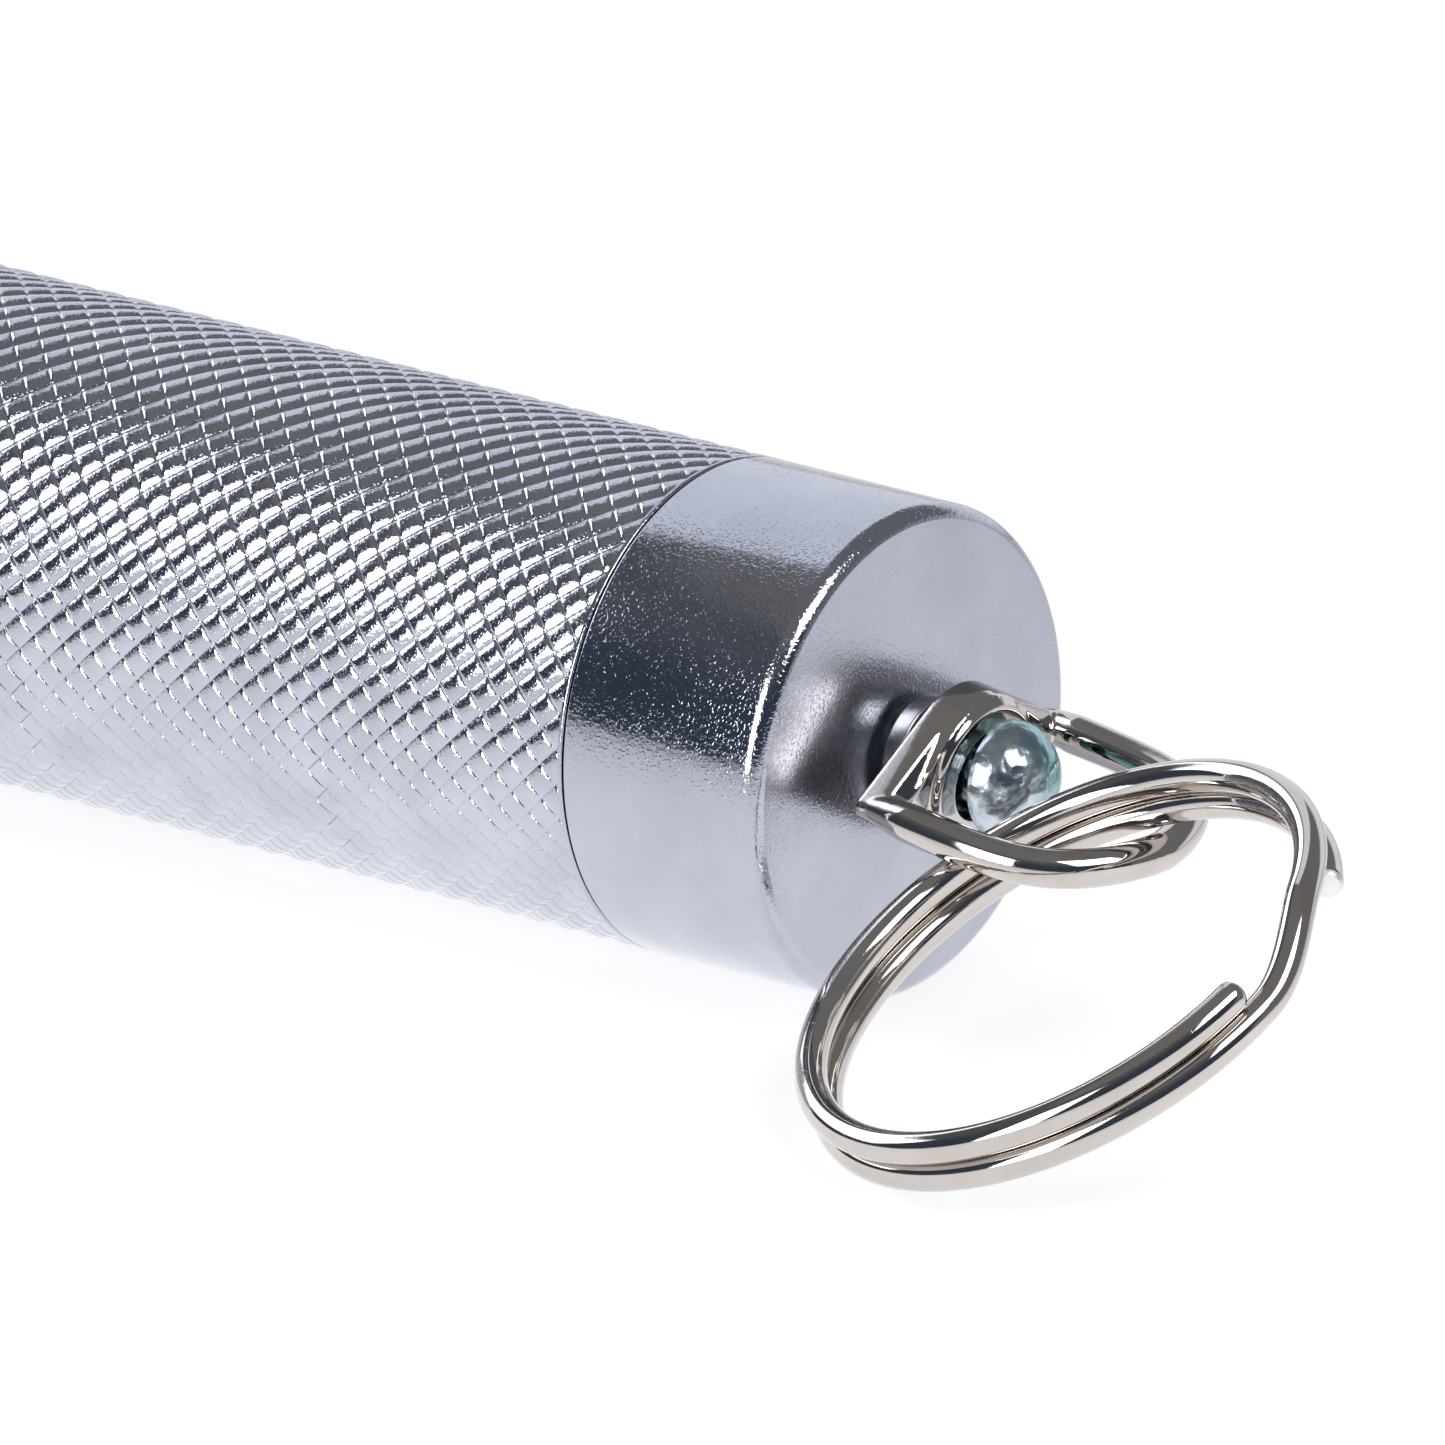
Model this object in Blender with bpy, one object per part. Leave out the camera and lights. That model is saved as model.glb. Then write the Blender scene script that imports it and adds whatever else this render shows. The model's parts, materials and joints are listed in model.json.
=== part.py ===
"""Keychain flashlight for one AAA cell, lying on its side on the plane z = 0.

A knurled chrome barrel carries a twist head at one end and a screw tail cap at the other. A riveted
swivel on the tail cap holds a D-shaped loop, and the loop holds a two-turn split ring.

The barrel's axis runs along X, with the head towards -X and the tail towards +X. Stations along the
axis are measured from the centre of the tail cap's end face, in millimetres, positive out of the tail.
"""

import math

import bmesh
import bpy
from mathutils import Matrix, Vector

MM = 0.001
SIDES = 32  # facets round the outer shells, one of them flat on the plane below
INNER_SIDES = 16  # facets round small inner pieces
MERGE = 1e-7
QUARTER_TURN = [math.radians(15 * i) for i in range(7)]

# Where the tail face's centre stands, so that the origin is the bottom centre of the whole object.
SITE = (25.7, 4.0, 7.5)

# Outer shells. Every shell is flush with the barrel.
GAP = 0.3  # between pieces that touch on the real object
BODY_R = 7.5
BORE_R = 5.4
SPIGOT_R = 6.3
SKIRT_BORE_R = 6.65

# Barrel: its knurled length lies between two spigots that carry the threads
BARREL_REAR = -3.6
BARREL_FRONT = -55.0
CAP_LENGTH = 7.2
KNURL_REAR = -(CAP_LENGTH + GAP)
KNURL_FRONT = -48.0

# Tail cap
CAP_WALL = 1.8
CAP_CHAMFER_R = 0.42
CAP_CHAMFER_X = 0.56
CAP_MOUTH_EDGE = 0.1

# Head and bezel
HEAD_REAR = KNURL_FRONT - GAP
HEAD_FRONT = -66.5
HEAD_EDGE = 0.15
GRIP_GROOVES = (-51.6, -53.4, -55.2)
GRIP_WIDTH = 1.0
GRIP_DEPTH = 0.3
GRIP_SLOPE = 0.2
SHOULDER_X = (-57.3, -59.2)  # the inner shoulder that pushes the lamp module
SHOULDER_R = 5.65
HEAD_BORE_R = 6.05
HEAD_BOSS_R = 6.6
BEZEL_REAR = -62.3
BEZEL_FRONT = -71.5
BEZEL_BORE_R = 6.9
BEZEL_CHAMFER = (0.8, 0.6)
BEZEL_LIP_REAR = -70.1
BEZEL_FLARE = (1.0, 6.1)
WINDOW_R = 5.6

# O-rings
ORING_WIRE_R = 0.25
ORING_R = 6.2
GROOVE_R = 5.85
GROOVE_HALF = 0.5
TAIL_ORING_X = -6.2
NECK_ORING_X = -49.4
LENS_ORING_X = -69.75
LENS_ORING_R = 6.05

# Cell: 44.5 mm long over its positive cap
CELL_REAR = -9.0
CELL_FRONT = -53.5
CELL_SHOULDER = -52.3
CELL_R = 5.15
CELL_CAN_R = 4.7
CELL_JACKET_WALL = 0.2
CELL_SEAL_WALL = 0.25
CELL_SEAL_R = (2.3, 4.6)
CELL_CAP_R = 1.9

# Lamp module
PILL_REAR = -55.4
PILL_STEP = -57.0
PILL_FLOOR = -59.2
PILL_FRONT = -60.6
PILL_FLANGE_R = 6.1
PILL_R = 5.3
PILL_BORE_R = 5.05
PILL_WIRE_HOLE_R = 1.2
POST_X = (-55.6, -53.8)
POST_R = 1.6
BOARD_R = 4.7
DRIVER_BOARD_X = (-56.9, -55.9)
INDUCTOR_X = (-58.7, -57.2)
INDUCTOR_HALF = 1.5
LED_BOARD_X = (-61.9, -60.9)
LED_BASE_X = (-62.9, -62.2)
LED_BASE_HALF = 1.725
LED_DOME_R = 1.3
LED_DOME_X = -62.8
LED_DOME_ROOT = -62.6

# Optics
REFLECTOR_X = (-63.2, -67.6)
REFLECTOR_DEPTH = 5.6  # from the parabola's apex to its mouth
REFLECTOR_MOUTH_R = 5.5
REFLECTOR_RIM_R = 6.4
REFLECTOR_RIM_WALL = 0.8
REFLECTOR_WAIST_R = 5.8
REFLECTOR_NECK = (-64.2, 4.6)
REFLECTOR_WALL = 0.8
LENS_X = (-69.4, -67.9)
LENS_R = 6.4
LENS_EDGE = 0.2

# Swivel
HOLE_R = 1.4
SHANK_R = 1.05
RIVET_HEAD_X = 3.42
RIVET_HEAD_R = 1.77
RIVET_HEAD_HEIGHT = 1.65
RIVET_FLARE_LENGTH = 0.5
RIVET_FLARE_R = (1.8, 1.5)
WASHER_R = 3.2
WASHER_THICKNESS = 0.35
SPACER_R = 1.9
SPACER_X = (0.3, 0.95)
LOOP_X = 2.11
LOOP_SPIN = math.radians(4.1)
LOOP_DROOP = math.radians(8.6)
LOOP_BAR_R = 0.6
LOOP_HALF_WIDTH = 4.03
LOOP_LENGTH = 7.18
LOOP_ARM_POWER = 5.0
LOOP_NOSE_POWER = 1.5
FLANGE_R = 2.5
FLANGE_TIP = 4.45
FLANGE_X = (-0.83, -0.08)
HUB_R = 2.25
HUB_X = (-0.53, 0.64)

# Split ring
RING_CENTRE = (11.54, -7.39, -2.37)
RING_LEAN = math.radians(30.4)
RING_LEAN_TOWARDS = math.radians(-118.4)
RING_R = 8.23
RING_WIRE_R = 0.5
RING_PITCH = 1.07
RING_START = math.radians(108)
RING_SWEEP = math.radians(678)
JOGGLE = (math.radians(328), math.radians(356))

# Tail spring
SPRING_WIRE_R = 0.3
SPRING_R = (4.6, 2.6)
SPRING_X = (-2.4, -8.4)
SPRING_TURNS = 4.5


def clear_scene():
    for old in list(bpy.data.objects):
        bpy.data.objects.remove(old, do_unlink=True)


def material(name, colour, roughness, metallic=0.0, transmission=0.0):
    made = bpy.data.materials.new(name)
    made.use_nodes = True
    shader = made.node_tree.nodes["Principled BSDF"]
    shader.inputs["Base Color"].default_value = (*colour, 1.0)
    shader.inputs["Roughness"].default_value = roughness
    shader.inputs["Metallic"].default_value = metallic
    shader.inputs["Transmission Weight"].default_value = transmission
    made.diffuse_color = (*colour, 1.0)
    return made


def empty(name, place, parent=None, turn=None):
    """An unseen frame at a place in millimetres; turn is its rotation matrix."""
    frame = bpy.data.objects.new(name, None)
    bpy.context.scene.collection.objects.link(frame)
    frame.parent = parent
    frame.matrix_local = Matrix.Translation(Vector(place) * MM) @ (turn or Matrix.Identity(4))
    return frame


def finish(name, bm, finish_material, parent):
    """Makes a named object of a bmesh, with smooth round faces and crisp edges."""
    bmesh.ops.remove_doubles(bm, verts=bm.verts, dist=MERGE)
    bmesh.ops.recalc_face_normals(bm, faces=bm.faces)
    mesh = bpy.data.meshes.new(name)
    bm.to_mesh(mesh)
    bm.free()
    mesh.shade_smooth()
    mesh.set_sharp_from_angle(angle=math.radians(35))
    mesh.materials.append(finish_material)
    made = bpy.data.objects.new(name, mesh)
    bpy.context.scene.collection.objects.link(made)
    made.parent = parent
    return made


def turned(name, outline, finish_material, parent, sides=SIDES):
    """Turns (station, radius) points about the X axis. A radius is measured to the middle of a facet.
    An outline that starts and ends on the axis is a solid piece, and any other is closed on itself."""
    bm = bmesh.new()
    half = math.pi / sides
    corner = 1 / math.cos(half)
    across = (math.sin(half) * corner, math.cos(half) * corner)
    verts = [bm.verts.new((x * MM, r * MM * across[0], r * MM * across[1])) for x, r in outline]
    edges = [bm.edges.new(pair) for pair in zip(verts, verts[1:])]
    if min(r for _, r in outline) > 0:
        edges.append(bm.edges.new((verts[-1], verts[0])))
    bmesh.ops.spin(
        bm, geom=verts + edges, cent=(0, 0, 0), axis=(1, 0, 0), angle=2 * math.pi, steps=sides
    )
    return finish(name, bm, finish_material, parent)


def disc(name, front, rear, radius, finish_material, parent, hole=0.0, sides=INNER_SIDES):
    """A round plate between two stations, with an optional hole."""
    if hole:
        outline = [(front, hole), (front, radius), (rear, radius), (rear, hole)]
    else:
        outline = [(front, 0), (front, radius), (rear, radius), (rear, 0)]
    return turned(name, outline, finish_material, parent, sides)


def oring(name, station, ring_r, wire_r, finish_material, parent):
    steps = [math.tau * (i + 0.5) / 6 for i in range(6)]
    outline = [(station + wire_r * math.cos(a), ring_r + wire_r * math.sin(a)) for a in steps]
    return turned(name, outline, finish_material, parent, sides=24)


def bar(name, path, plane_normal, radius, sides, closed, finish_material, parent):
    """A round bar along a path of points in millimetres, mitred at each bend."""
    bm = bmesh.new()
    count = len(path)
    rings = []
    for i, point in enumerate(path):
        before = path[i - 1] if closed or i else point
        after = path[(i + 1) % count] if closed or i < count - 1 else point
        arriving = (point - before).normalized() if before != point else (after - point).normalized()
        leaving = (after - point).normalized() if after != point else arriving
        along = (arriving + leaving).normalized()
        side = along.cross(plane_normal).normalized()
        up = side.cross(along)
        mitre = 1 / max(0.5, along.dot(arriving))
        ring = []
        for k in range(sides):
            turn = math.tau * (k + 0.5) / sides
            offset = side * (math.cos(turn) * mitre) + up * math.sin(turn)
            ring.append(bm.verts.new((point + offset * radius) * MM))
        rings.append(ring)
    pairs = list(zip(rings, rings[1:])) + ([(rings[-1], rings[0])] if closed else [])
    for ring, following in pairs:
        for k in range(sides):
            m = (k + 1) % sides
            bm.faces.new((ring[k], ring[m], following[m], following[k]))
    if not closed:
        bm.faces.new(rings[0])
        bm.faces.new(rings[-1])
    return finish(name, bm, finish_material, parent)


def square(half):
    return [(-half, -half), (half, -half), (half, half), (-half, half)]


def plate(name, outline, x_low, x_high, finish_material, parent):
    """A flat outline of (y, z) points, extruded along X."""
    bm = bmesh.new()
    face = bm.faces.new([bm.verts.new((x_low * MM, y * MM, z * MM)) for y, z in outline])
    grown = bmesh.ops.extrude_face_region(bm, geom=[face])
    verts = [item for item in grown["geom"] if isinstance(item, bmesh.types.BMVert)]
    bmesh.ops.translate(bm, verts=verts, vec=((x_high - x_low) * MM, 0, 0))
    return finish(name, bm, finish_material, parent)


def combine(target, form, operation):
    """Joins a form to a piece, or cuts it out; the form itself is only a guide."""
    change = target.modifiers.new(form.name, "BOOLEAN")
    change.operation = operation
    change.solver = "EXACT"
    change.object = form
    form.hide_render = True
    form.display_type = "WIRE"


def evenly_spaced(points, count):
    """Points at equal steps along a line through the given points."""
    lengths = [0.0]
    for a, b in zip(points, points[1:]):
        lengths.append(lengths[-1] + (b - a).length)
    spaced = []
    k = 0
    for i in range(count):
        wanted = lengths[-1] * i / (count - 1)
        while k < len(points) - 2 and lengths[k + 1] < wanted:
            k += 1
        part = (wanted - lengths[k]) / (lengths[k + 1] - lengths[k])
        spaced.append(points[k].lerp(points[k + 1], min(1.0, part)))
    return spaced


def make_barrel(chrome, rubber, body):
    def groove(station):
        rear, front = station + GROOVE_HALF, station - GROOVE_HALF
        return [(rear, SPIGOT_R), (rear, GROOVE_R), (front, GROOVE_R), (front, SPIGOT_R)]

    outline = [(BARREL_REAR, BORE_R), (BARREL_REAR, SPIGOT_R)]
    outline += groove(TAIL_ORING_X)
    outline += [(KNURL_REAR, SPIGOT_R), (KNURL_REAR, BODY_R)]
    outline += [(KNURL_FRONT, BODY_R), (KNURL_FRONT, SPIGOT_R)]
    outline += groove(NECK_ORING_X)
    outline += [(BARREL_FRONT, SPIGOT_R), (BARREL_FRONT, BORE_R)]
    turned("barrel", outline, chrome, body)
    oring("tail_oring", TAIL_ORING_X, ORING_R, ORING_WIRE_R, rubber, body)
    oring("neck_oring", NECK_ORING_X, ORING_R, ORING_WIRE_R, rubber, body)


def make_cell(steel, jacket, plastic, body):
    disc("cell_can", CELL_SHOULDER, CELL_REAR, CELL_CAN_R, steel, body)
    jacket_bore = CELL_R - CELL_JACKET_WALL
    disc("cell_jacket", CELL_SHOULDER + GAP, CELL_REAR - GAP, CELL_R, jacket, body, hole=jacket_bore)
    top = CELL_SHOULDER - GAP
    seal_bore, seal_r = CELL_SEAL_R
    disc("cell_seal", top - CELL_SEAL_WALL, top, seal_r, plastic, body, hole=seal_bore)
    disc("cell_positive_cap", CELL_FRONT, top, CELL_CAP_R, steel, body)


def make_led_module(brass, board, ferrite, ceramic, body):
    """The lamp module slides in the barrel's mouth and is driven by the head's shoulder."""
    pill = [(PILL_REAR, PILL_BORE_R), (PILL_REAR, PILL_FLANGE_R), (PILL_STEP, PILL_FLANGE_R)]
    pill += [(PILL_STEP, PILL_R), (PILL_FRONT, PILL_R), (PILL_FRONT, PILL_WIRE_HOLE_R)]
    pill += [(PILL_FLOOR, PILL_WIRE_HOLE_R), (PILL_FLOOR, PILL_BORE_R)]
    turned("led_pill", pill, brass, body, sides=24)
    disc("contact_post", *POST_X, POST_R, brass, body)
    disc("driver_board", *DRIVER_BOARD_X, BOARD_R, board, body)
    plate("driver_inductor", square(INDUCTOR_HALF), *INDUCTOR_X, ferrite, body)
    disc("led_board", *LED_BOARD_X, BOARD_R, board, body, sides=24)
    emitter = plate("led_emitter", square(LED_BASE_HALF), *LED_BASE_X, ceramic, body)
    dome = [(LED_DOME_X - LED_DOME_R * math.cos(a), LED_DOME_R * math.sin(a)) for a in QUARTER_TURN]
    dome += [(LED_DOME_ROOT, LED_DOME_R), (LED_DOME_ROOT, 0)]
    combine(emitter, turned("led_dome_form", dome, ceramic, body, INNER_SIDES), "UNION")


def make_head(chrome, mirror, glass, rubber, body):
    shell = [(HEAD_REAR, SKIRT_BORE_R), (HEAD_REAR, BODY_R - HEAD_EDGE), (HEAD_REAR - HEAD_EDGE, BODY_R)]
    for rear in GRIP_GROOVES:
        front = rear - GRIP_WIDTH
        floor = BODY_R - GRIP_DEPTH
        shell += [(rear, BODY_R), (rear - GRIP_SLOPE, floor), (front + GRIP_SLOPE, floor), (front, BODY_R)]
    step = BEZEL_REAR + GAP
    shell += [(step, BODY_R), (step, HEAD_BOSS_R), (HEAD_FRONT, HEAD_BOSS_R), (HEAD_FRONT, HEAD_BORE_R)]
    shoulder_rear, shoulder_front = SHOULDER_X
    shell += [(shoulder_front, HEAD_BORE_R), (shoulder_front, SHOULDER_R)]
    shell += [(shoulder_rear, SHOULDER_R), (shoulder_rear, SKIRT_BORE_R)]
    turned("head_shell", shell, chrome, body)

    deep, mouth = REFLECTOR_X
    focus = REFLECTOR_MOUTH_R**2 / (4 * REFLECTOR_DEPTH)
    apex = mouth + REFLECTOR_DEPTH
    steps = 6
    stations = [deep + (mouth - deep) * i / steps for i in range(steps + 1)]
    bowl = [(station, 2 * math.sqrt(focus * (apex - station))) for station in stations]
    rim = mouth + REFLECTOR_RIM_WALL
    outside = [(mouth, REFLECTOR_RIM_R), (rim, REFLECTOR_RIM_R), (rim, REFLECTOR_WAIST_R)]
    outside += [REFLECTOR_NECK, (deep, bowl[0][1] + REFLECTOR_WALL)]
    turned("reflector", bowl + outside, mirror, body, sides=24)

    front, rear = LENS_X
    lens = [(front, 0), (front, LENS_R - LENS_EDGE), (front + LENS_EDGE, LENS_R), (rear, LENS_R), (rear, 0)]
    turned("lens", lens, glass, body)
    oring("lens_oring", LENS_ORING_X, LENS_ORING_R, ORING_WIRE_R, rubber, body)

    slope, drop = BEZEL_CHAMFER
    flare, flare_r = BEZEL_FLARE
    bezel = [(BEZEL_REAR, BEZEL_BORE_R), (BEZEL_REAR, BODY_R - HEAD_EDGE), (BEZEL_REAR - HEAD_EDGE, BODY_R)]
    bezel += [(BEZEL_FRONT + slope, BODY_R), (BEZEL_FRONT, BODY_R - drop), (BEZEL_FRONT, flare_r)]
    bezel += [(BEZEL_FRONT + flare, WINDOW_R), (BEZEL_LIP_REAR, WINDOW_R), (BEZEL_LIP_REAR, BEZEL_BORE_R)]
    turned("bezel", bezel, chrome, body)


def make_tail(chrome, zinc, steel, cap_body, spring_body):
    cap = [(-CAP_LENGTH, SKIRT_BORE_R), (-CAP_LENGTH, BODY_R - CAP_MOUTH_EDGE)]
    cap += [(CAP_MOUTH_EDGE - CAP_LENGTH, BODY_R)]
    cap += [(-CAP_CHAMFER_X, BODY_R), (-CAP_CHAMFER_X / 3, BODY_R - CAP_CHAMFER_R / 3)]
    cap += [(0, BODY_R - CAP_CHAMFER_R), (0, HOLE_R), (-CAP_WALL, HOLE_R), (-CAP_WALL, SKIRT_BORE_R)]
    turned("tail_cap", cap, chrome, cap_body)

    washer_rear = -CAP_WALL - GAP
    washer_front = washer_rear - WASHER_THICKNESS
    disc("rivet_washer", washer_front, washer_rear, WASHER_R, steel, cap_body, hole=HOLE_R)
    dome = []
    for angle in QUARTER_TURN:
        station = RIVET_HEAD_X + RIVET_HEAD_HEIGHT * math.cos(angle)
        dome.append((station, RIVET_HEAD_R * math.sin(angle)))
    flare = washer_front - GAP
    end = flare - RIVET_FLARE_LENGTH
    shank = [(RIVET_HEAD_X, SHANK_R), (flare, SHANK_R), (flare, RIVET_FLARE_R[0])]
    shank += [(end, RIVET_FLARE_R[1]), (end, 0)]
    turned("swivel_rivet", dome + shank, zinc, cap_body, INNER_SIDES)

    path = []
    steps = 20  # points to a turn
    count = round(SPRING_TURNS * steps)
    for i in range(count + 1):
        turn = math.tau * i / steps
        radius = SPRING_R[0] + (SPRING_R[1] - SPRING_R[0]) * i / count
        station = SPRING_X[0] + (SPRING_X[1] - SPRING_X[0]) * i / count
        path.append(Vector((station, radius * math.cos(turn), radius * math.sin(turn))))
    bar("tail_spring", path, Vector((1, 0, 0)), SPRING_WIRE_R, 6, False, steel, spring_body)


def make_swivel_loop(nickel, body):
    """A cast loop in its own frame: X out of the tail, Y across its arms, with its eye at the origin."""
    rough = []
    for i in range(721):
        angle = math.radians(i / 4 - 90)
        out = LOOP_LENGTH * abs(math.cos(angle)) ** (2 / LOOP_ARM_POWER)
        across = LOOP_HALF_WIDTH * abs(math.sin(angle)) ** (2 / LOOP_NOSE_POWER)
        rough.append(Vector((out, math.copysign(across, angle), 0)))
    path = evenly_spaced(rough, 33)
    loop = bar("swivel_loop", path, Vector((0, 0, 1)), LOOP_BAR_R, 10, True, nickel, body)

    tangent = math.acos(FLANGE_R / FLANGE_TIP)
    arc = [tangent + (math.pi - 2 * tangent) * i / 8 for i in range(9)]
    upper = [(FLANGE_R * math.cos(a), FLANGE_R * math.sin(a)) for a in arc]
    lower = [(-y, -z) for y, z in upper]
    tips = [(FLANGE_TIP, 0.0), (-FLANGE_TIP, 0.0)]
    outline = [tips[0], *upper, tips[1], *lower]
    combine(loop, plate("flange_form", outline, *FLANGE_X, nickel, body), "UNION")
    combine(loop, disc("hub_form", *HUB_X, HUB_R, nickel, body, sides=24), "UNION")
    combine(loop, disc("eye_form", -BODY_R, 2 * HUB_R, HOLE_R, nickel, body), "DIFFERENCE")


def make_split_ring(nickel, body):
    """Two turns of round wire in the ring's own frame, with Z across its two layers."""
    path = []
    count = 92
    for i in range(count + 1):
        swept = RING_SWEEP * i / count
        part = min(1.0, max(0.0, (swept - JOGGLE[0]) / (JOGGLE[1] - JOGGLE[0])))
        eased = part * part * (3 - 2 * part)
        angle = RING_START - swept
        height = RING_PITCH * (0.5 - eased)
        path.append(Vector((RING_R * math.cos(angle), RING_R * math.sin(angle), height)))
    bar("split_ring", path, Vector((0, 0, 1)), RING_WIRE_R, 8, False, nickel, body)


def main():
    clear_scene()
    chrome = material("chrome_plate", (0.80, 0.82, 0.86), 0.08, 1.0)
    nickel = material("nickel_plate", (0.78, 0.75, 0.72), 0.08, 1.0)
    zinc = material("zinc_plate", (0.55, 0.66, 0.72), 0.15, 1.0)
    steel = material("spring_steel", (0.62, 0.62, 0.63), 0.25, 1.0)
    brass = material("brass", (0.76, 0.60, 0.33), 0.25, 1.0)
    rubber = material("black_rubber", (0.02, 0.02, 0.02), 0.6)
    jacket = material("cell_jacket_film", (0.10, 0.11, 0.13), 0.3)
    plastic = material("white_plastic", (0.75, 0.75, 0.72), 0.5)
    board = material("board_laminate", (0.03, 0.16, 0.08), 0.45)
    ferrite = material("ferrite", (0.06, 0.06, 0.065), 0.6)
    ceramic = material("led_ceramic", (0.85, 0.78, 0.35), 0.3)
    mirror = material("reflector_mirror", (0.90, 0.90, 0.90), 0.05, 1.0)
    glass = material("lens_glass", (0.95, 0.97, 0.98), 0.02, 0.0, 0.9)

    barrel = empty("barrel_frame", SITE)
    make_barrel(chrome, rubber, barrel)
    make_cell(steel, jacket, plastic, empty("cell_frame", (0, 0, 0), barrel))
    module = empty("led_module_frame", (0, 0, 0), barrel)
    make_led_module(brass, board, ferrite, ceramic, module)
    make_head(chrome, mirror, glass, rubber, empty("head_frame", (0, 0, 0), module))

    spring = empty("tail_spring_frame", (0, 0, 0), barrel)
    tail = empty("tail_cap_frame", (0, 0, 0), spring)
    make_tail(chrome, zinc, steel, tail, spring)
    spacer = empty("spacer_frame", (0, 0, 0), tail)
    disc("swivel_spacer", *SPACER_X, SPACER_R, steel, spacer, hole=HOLE_R)

    loop_turn = Matrix.Rotation(LOOP_SPIN, 4, "X") @ Matrix.Rotation(LOOP_DROOP, 4, "Y")
    loop = empty("loop_frame", (LOOP_X, 0, 0), spacer, loop_turn)
    make_swivel_loop(nickel, loop)

    ring_turn = Matrix.Rotation(RING_LEAN_TOWARDS, 4, "Z") @ Matrix.Rotation(RING_LEAN, 4, "Y")
    ring_place = Matrix.Translation(Vector(RING_CENTRE) * MM) @ ring_turn
    loop_place = Matrix.Translation(Vector((LOOP_X, 0, 0)) * MM) @ loop_turn
    hinge = empty("ring_hinge_frame", (LOOP_LENGTH, 0, 0), loop)
    hinge_place = loop_place @ Matrix.Translation(Vector((LOOP_LENGTH, 0, 0)) * MM)
    ring = empty("ring_frame", (0, 0, 0), hinge)
    ring.matrix_local = hinge_place.inverted() @ ring_place
    make_split_ring(nickel, ring)


main()
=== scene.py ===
"""Looks for the keychain flashlight: fine meshes, plated metals, studio light and a camera.

Lengths are millimetres unless a name says otherwise. Stations run along the barrel's axis from the
centre of the tail cap's end face, positive out of the tail, as the CAD model has them.
"""

import json
import math

import bmesh
import bpy
import numpy as np
from mathutils import Matrix, Vector


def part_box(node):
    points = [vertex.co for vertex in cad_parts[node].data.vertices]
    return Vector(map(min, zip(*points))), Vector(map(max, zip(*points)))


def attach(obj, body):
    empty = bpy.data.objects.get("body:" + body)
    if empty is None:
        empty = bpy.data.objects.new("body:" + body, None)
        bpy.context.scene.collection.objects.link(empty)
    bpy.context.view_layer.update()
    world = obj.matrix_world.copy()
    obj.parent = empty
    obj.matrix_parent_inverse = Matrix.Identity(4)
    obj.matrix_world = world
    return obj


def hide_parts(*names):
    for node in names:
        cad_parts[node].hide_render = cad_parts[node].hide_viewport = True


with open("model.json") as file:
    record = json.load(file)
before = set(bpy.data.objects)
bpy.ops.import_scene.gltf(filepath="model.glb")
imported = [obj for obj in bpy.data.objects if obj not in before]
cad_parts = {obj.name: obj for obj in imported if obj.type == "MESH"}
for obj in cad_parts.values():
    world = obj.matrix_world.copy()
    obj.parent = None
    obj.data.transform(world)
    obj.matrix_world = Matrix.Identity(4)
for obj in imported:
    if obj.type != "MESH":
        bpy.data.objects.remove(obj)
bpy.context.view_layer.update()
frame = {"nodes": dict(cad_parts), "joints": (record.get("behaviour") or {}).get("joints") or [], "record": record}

MM = 0.001
ROUND = 192  # facets round a turned piece

# Knurl: two crossing sets of helical grooves at 45 degrees
KNURL_STARTS = 42
KNURL_DEPTHS = (0.095, 0.026)  # of the two sets; the first is cut deeper
KNURL_HALF_WIDTHS = (0.37, 0.13)  # of the grooves, in pitches
KNURL_ROOTS = (0.02, 0.026)  # depths of the sharp line at the bottom of each groove
KNURL_ROOT_HALF_WIDTH = 0.028  # in pitches
KNURL_PILLOWS = (0.008, 0.03)  # fall of the lands towards each set's grooves
KNURL_SAMPLES = (0.0, 0.035, 0.11, 0.19, 0.27, 0.5, 0.73, 0.81, 0.89, 0.965)  # across one diamond
KNURL_PIECES = 4
KNURL_BAND = 0.14  # plain rim at each end of the knurl
SLEEVE_BORE_R = 6.75
JOINT_GAP = 0.06  # shown between the barrel and its neighbours
TAIL_PITCH = 0.75  # of the thread under the cap
NECK_PITCH = 1.0  # of the thread under the head

# Stations of the rear edges of the grip grooves
HEAD_GROOVES = (-51.6, -53.4, -55.2)
BEZEL_GROOVES = (-64.2, -65.4, -66.6)

# Swivel and ring
LOOP_BAR_R = 0.6
LOOP_HALF_WIDTH = 4.03
LOOP_ARM_POWER = 5.0
LOOP_NOSE_POWER = 1.5
HUB_HOLE_R = 1.4
RING_R = 8.23
RING_WIRE_R = 0.5
RING_PITCH = 1.03
RING_START = math.radians(108)
RING_SWEEP = math.radians(678)
RING_JOGGLE = (math.radians(328), math.radians(356))

# Camera, from the centre of the tail face
VIEW_AZIMUTH = math.radians(38.07)
VIEW_ELEVATION = math.radians(18.87)
VIEW_DISTANCE = 1725.0
VIEW_SHIFT = (-5.583, 0.942)  # where the picture's centre lies, to the right and up
VIEW_LENS = 1460.7


# ---------------------------------------------------------------- places


def node_span(name):
    """Front and rear stations of a CAD node."""
    low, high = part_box(name)
    return (low.x - TAIL.x) / MM, (high.x - TAIL.x) / MM


def joint(name):
    return next(j for j in frame["joints"] if j["name"] == name)


barrel_low, barrel_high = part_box("barrel")
axis_y = (barrel_low.y + barrel_high.y) / 2
axis_z = (barrel_low.z + barrel_high.z) / 2
TAIL = Vector((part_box("tail_cap")[1].x, axis_y, axis_z))
BODY_R = (barrel_high.z - barrel_low.z) / 2 / MM
CAP_FRONT = node_span("tail_cap")[0]
HEAD_REAR = node_span("head_shell")[1]
KNURL_REAR = CAP_FRONT - JOINT_GAP
KNURL_FRONT = HEAD_REAR + JOINT_GAP
AXIS_FRAME = Matrix.Translation(TAIL)


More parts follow.
